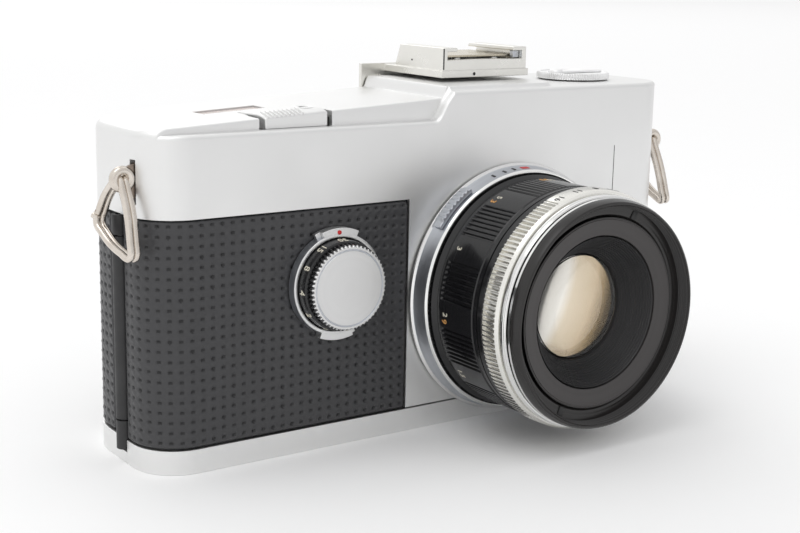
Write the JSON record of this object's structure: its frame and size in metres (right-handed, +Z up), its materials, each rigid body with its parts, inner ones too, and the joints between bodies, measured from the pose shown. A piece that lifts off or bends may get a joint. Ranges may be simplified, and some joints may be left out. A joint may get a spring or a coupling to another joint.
{
  "type": "half frame camera",
  "caption": "Compact single-lens reflex film camera with a front speed dial, a hinged back door, an offset normal lens, an accessory shoe and strap rings.",
  "frame": {"origin": "under the middle of the body shell's plan, on the plane that the base stands on", "axes": "+X along the body to the viewer's right seen from the front, +Y to the back, +Z up; the lens looks along -Y"},
  "size_m": [0.1384, 0.0664, 0.0764],
  "materials": {
    "satin_chrome": "satin",
    "polished_nickel": "polished",
    "black_enamel": "gloss",
    "black_matt": "matt",
    "leatherette": "embossed",
    "steel": "satin",
    "coated_glass": "coated",
    "silvered_mirror": "front-silvered",
    "cast_alloy": "black anodised",
    "spring_steel": "bare"
  },
  "bodies": {
    "body": {"body_casting": "cast_alloy", "top_cover": "satin_chrome", "base_plate": "satin_chrome", "front_leather_left": "leatherette", "front_leather_right": "leatherette", "tripod_socket": "steel", "hinge_pin": "steel", "strap_lug_left": "steel", "strap_lug_right": "steel", "release_spring": "spring_steel", "counter_window": "coated_glass", "accessory_shoe": "satin_chrome", "shoe_spring": "spring_steel", "eyepiece_frame": "black_enamel", "eyepiece_lens": "coated_glass", "sync_socket": "steel", "dial_index_ring": "satin_chrome", "focusing_screen": "coated_glass", "lower_prism": "coated_glass", "relay_lens": "coated_glass", "finder_mirror": "coated_glass", "eyepiece_prism": "coated_glass", "lens_mount_flange": "steel", "lens_bayonet": "steel", "lens_rear_ring": "satin_chrome"},
    "rewind_release": {"rewind_release_button": "steel"},
    "latch": {"latch_disc": "steel"},
    "latch_fold": {"latch_handle": "steel"},
    "door": {"back_door": "cast_alloy", "door_leather": "leatherette", "pressure_plate": "steel"},
    "ring_left": {"strap_ring_left": "polished_nickel"},
    "ring_right": {"strap_ring_right": "polished_nickel"},
    "release": {"shutter_button": "satin_chrome"},
    "counter": {"counter_disc": "black_matt"},
    "wind": {"wind_lever": "satin_chrome", "wind_shaft": "steel"},
    "rewind": {"rewind_knob": "satin_chrome", "rewind_shaft": "steel"},
    "crank": {"rewind_crank": "steel"},
    "speed_dial": {"dial_number_ring": "black_enamel", "dial_cap": "satin_chrome", "dial_shaft": "steel"},
    "spool": {"take_up_spool": "black_matt"},
    "sprocket": {"film_sprocket": "steel"},
    "mirror_frame": {"mirror": "silvered_mirror"},
    "shutter": {"shutter_disc": "steel"},
    "lens_release": {"lens_release_button": "satin_chrome"},
    "preview": {"preview_lever": "steel"},
    "focus": {"focus_ring": "black_enamel"},
    "front_group": {"lens_barrel": "black_enamel", "trim_ring": "polished_nickel", "name_ring": "black_matt", "inner_cone": "black_matt", "lens_cell": "black_matt", "front_element": "coated_glass", "rear_element": "coated_glass", "iris_stop": "black_matt"},
    "aperture": {"aperture_ring": "satin_chrome"}
  },
  "joints": [
    {"name": "door_hinge", "type": "hinge", "parent": "body", "child": "door", "pos_m": [-0.0625, -0.0022, 0.026], "axis": [0, 0, 1], "range_deg": [0, 92]},
    {"name": "latch_turn", "type": "hinge", "parent": "body", "child": "latch", "pos_m": [0.048, 0, 0], "axis": [0, 0, 1], "range_deg": [0, 100]},
    {"name": "latch_handle_fold", "type": "hinge", "parent": "latch", "child": "latch_fold", "pos_m": [0.048, -0.0004, 0.00025], "axis": [1, 0, 0], "range_deg": [0, 90]},
    {"name": "rewind_release_press", "type": "slide", "parent": "body", "child": "rewind_release", "axis": [0, 0, 1], "range_m": [0, 0.001], "stiffness_N_per_m": 400, "springref_m": -0.0005},
    {"name": "left_ring_swing", "type": "hinge", "parent": "body", "child": "ring_left", "pos_m": [-0.0642, -0.0087, 0.055], "axis": [0, 1, 0], "range_deg": [0, 95]},
    {"name": "right_ring_swing", "type": "hinge", "parent": "body", "child": "ring_right", "pos_m": [0.0642, -0.0087, 0.055], "axis": [0, -1, 0], "range_deg": [0, 95]},
    {"name": "shutter_press", "type": "slide", "parent": "body", "child": "release", "axis": [0, 0, -1], "range_m": [0, 0.0015], "stiffness_N_per_m": 600, "springref_m": -0.0005, "deforming": ["release_spring"]},
    {"name": "counter_turn", "type": "hinge", "parent": "body", "child": "counter", "pos_m": [-0.0396, 0.0066, 0.061], "axis": [0, 0, 1], "range_deg": [0, 5]},
    {"name": "wind_stroke", "type": "hinge", "parent": "body", "child": "wind", "pos_m": [-0.0396, 0.0066, 0.0546], "axis": [0, 0, 1], "range_deg": [0, 110], "stiffness_Nm_per_rad": 0.002, "springref_deg": -5.73},
    {"name": "rewind_turn", "type": "hinge", "parent": "body", "child": "rewind", "pos_m": [0.0469, -0.001, 0.069], "axis": [0, 0, 1], "continuous": true},
    {"name": "crank_fold", "type": "hinge", "parent": "rewind", "child": "crank", "pos_m": [0.0545, -0.001, 0.0701], "axis": [0, 1, 0], "range_deg": [0, 95]},
    {"name": "speed_select", "type": "hinge", "parent": "body", "child": "speed_dial", "pos_m": [-0.0251, -0.022, 0.0332], "axis": [0, -1, 0], "range_deg": [-150, 150]},
    {"name": "spool_turn", "type": "hinge", "parent": "body", "child": "spool", "pos_m": [-0.0486, 0.0008, 0.026], "axis": [0, 0, 1], "range_deg": [0, 110]},
    {"name": "sprocket_turn", "type": "hinge", "parent": "body", "child": "sprocket", "pos_m": [-0.026, 0.007, 0.026], "axis": [0, 0, 1], "range_deg": [0, 150]},
    {"name": "mirror_swing", "type": "hinge", "parent": "body", "child": "mirror_frame", "pos_m": [0.0096, 0.0076, 0.0274], "axis": [0, 0, -1], "range_deg": [0, 45]},
    {"name": "shutter_turn", "type": "hinge", "parent": "body", "child": "shutter", "pos_m": [0.0063, 0.0093, 0.0274], "axis": [0, -1, 0], "continuous": true},
    {"name": "lens_release_press", "type": "slide", "parent": "body", "child": "lens_release", "axis": [0, 1, 0], "range_m": [0, 0.0012], "stiffness_N_per_m": 400, "springref_m": -0.0005},
    {"name": "preview_swing", "type": "hinge", "parent": "body", "child": "preview", "pos_m": [0.0188, -0.018, 0.0274], "axis": [0, -1, 0], "range_deg": [-10, 0], "stiffness_Nm_per_rad": 0.005, "springref_deg": 2.86},
    {"name": "focus_turn", "type": "hinge", "parent": "body", "child": "focus", "pos_m": [0.0188, -0.029, 0.0274], "axis": [0, -1, 0], "range_deg": [0, 170]},
    {"name": "focus_travel", "type": "slide", "parent": "body", "child": "front_group", "axis": [0, -1, 0], "range_m": [0, 0.0055]},
    {"name": "aperture_turn", "type": "hinge", "parent": "front_group", "child": "aperture", "pos_m": [0.0188, -0.039, 0.0274], "axis": [0, -1, 0], "range_deg": [-60, 0]}
  ],
  "couplings": [
    {"joint": "focus_travel", "follows": "focus_turn", "m_per_rad": 0.00182},
    {"joint": "spool_turn", "follows": "wind_stroke", "ratio": 1},
    {"joint": "sprocket_turn", "follows": "wind_stroke", "ratio": 1.3},
    {"joint": "counter_turn", "follows": "wind_stroke", "ratio": 0.045}
  ]
}
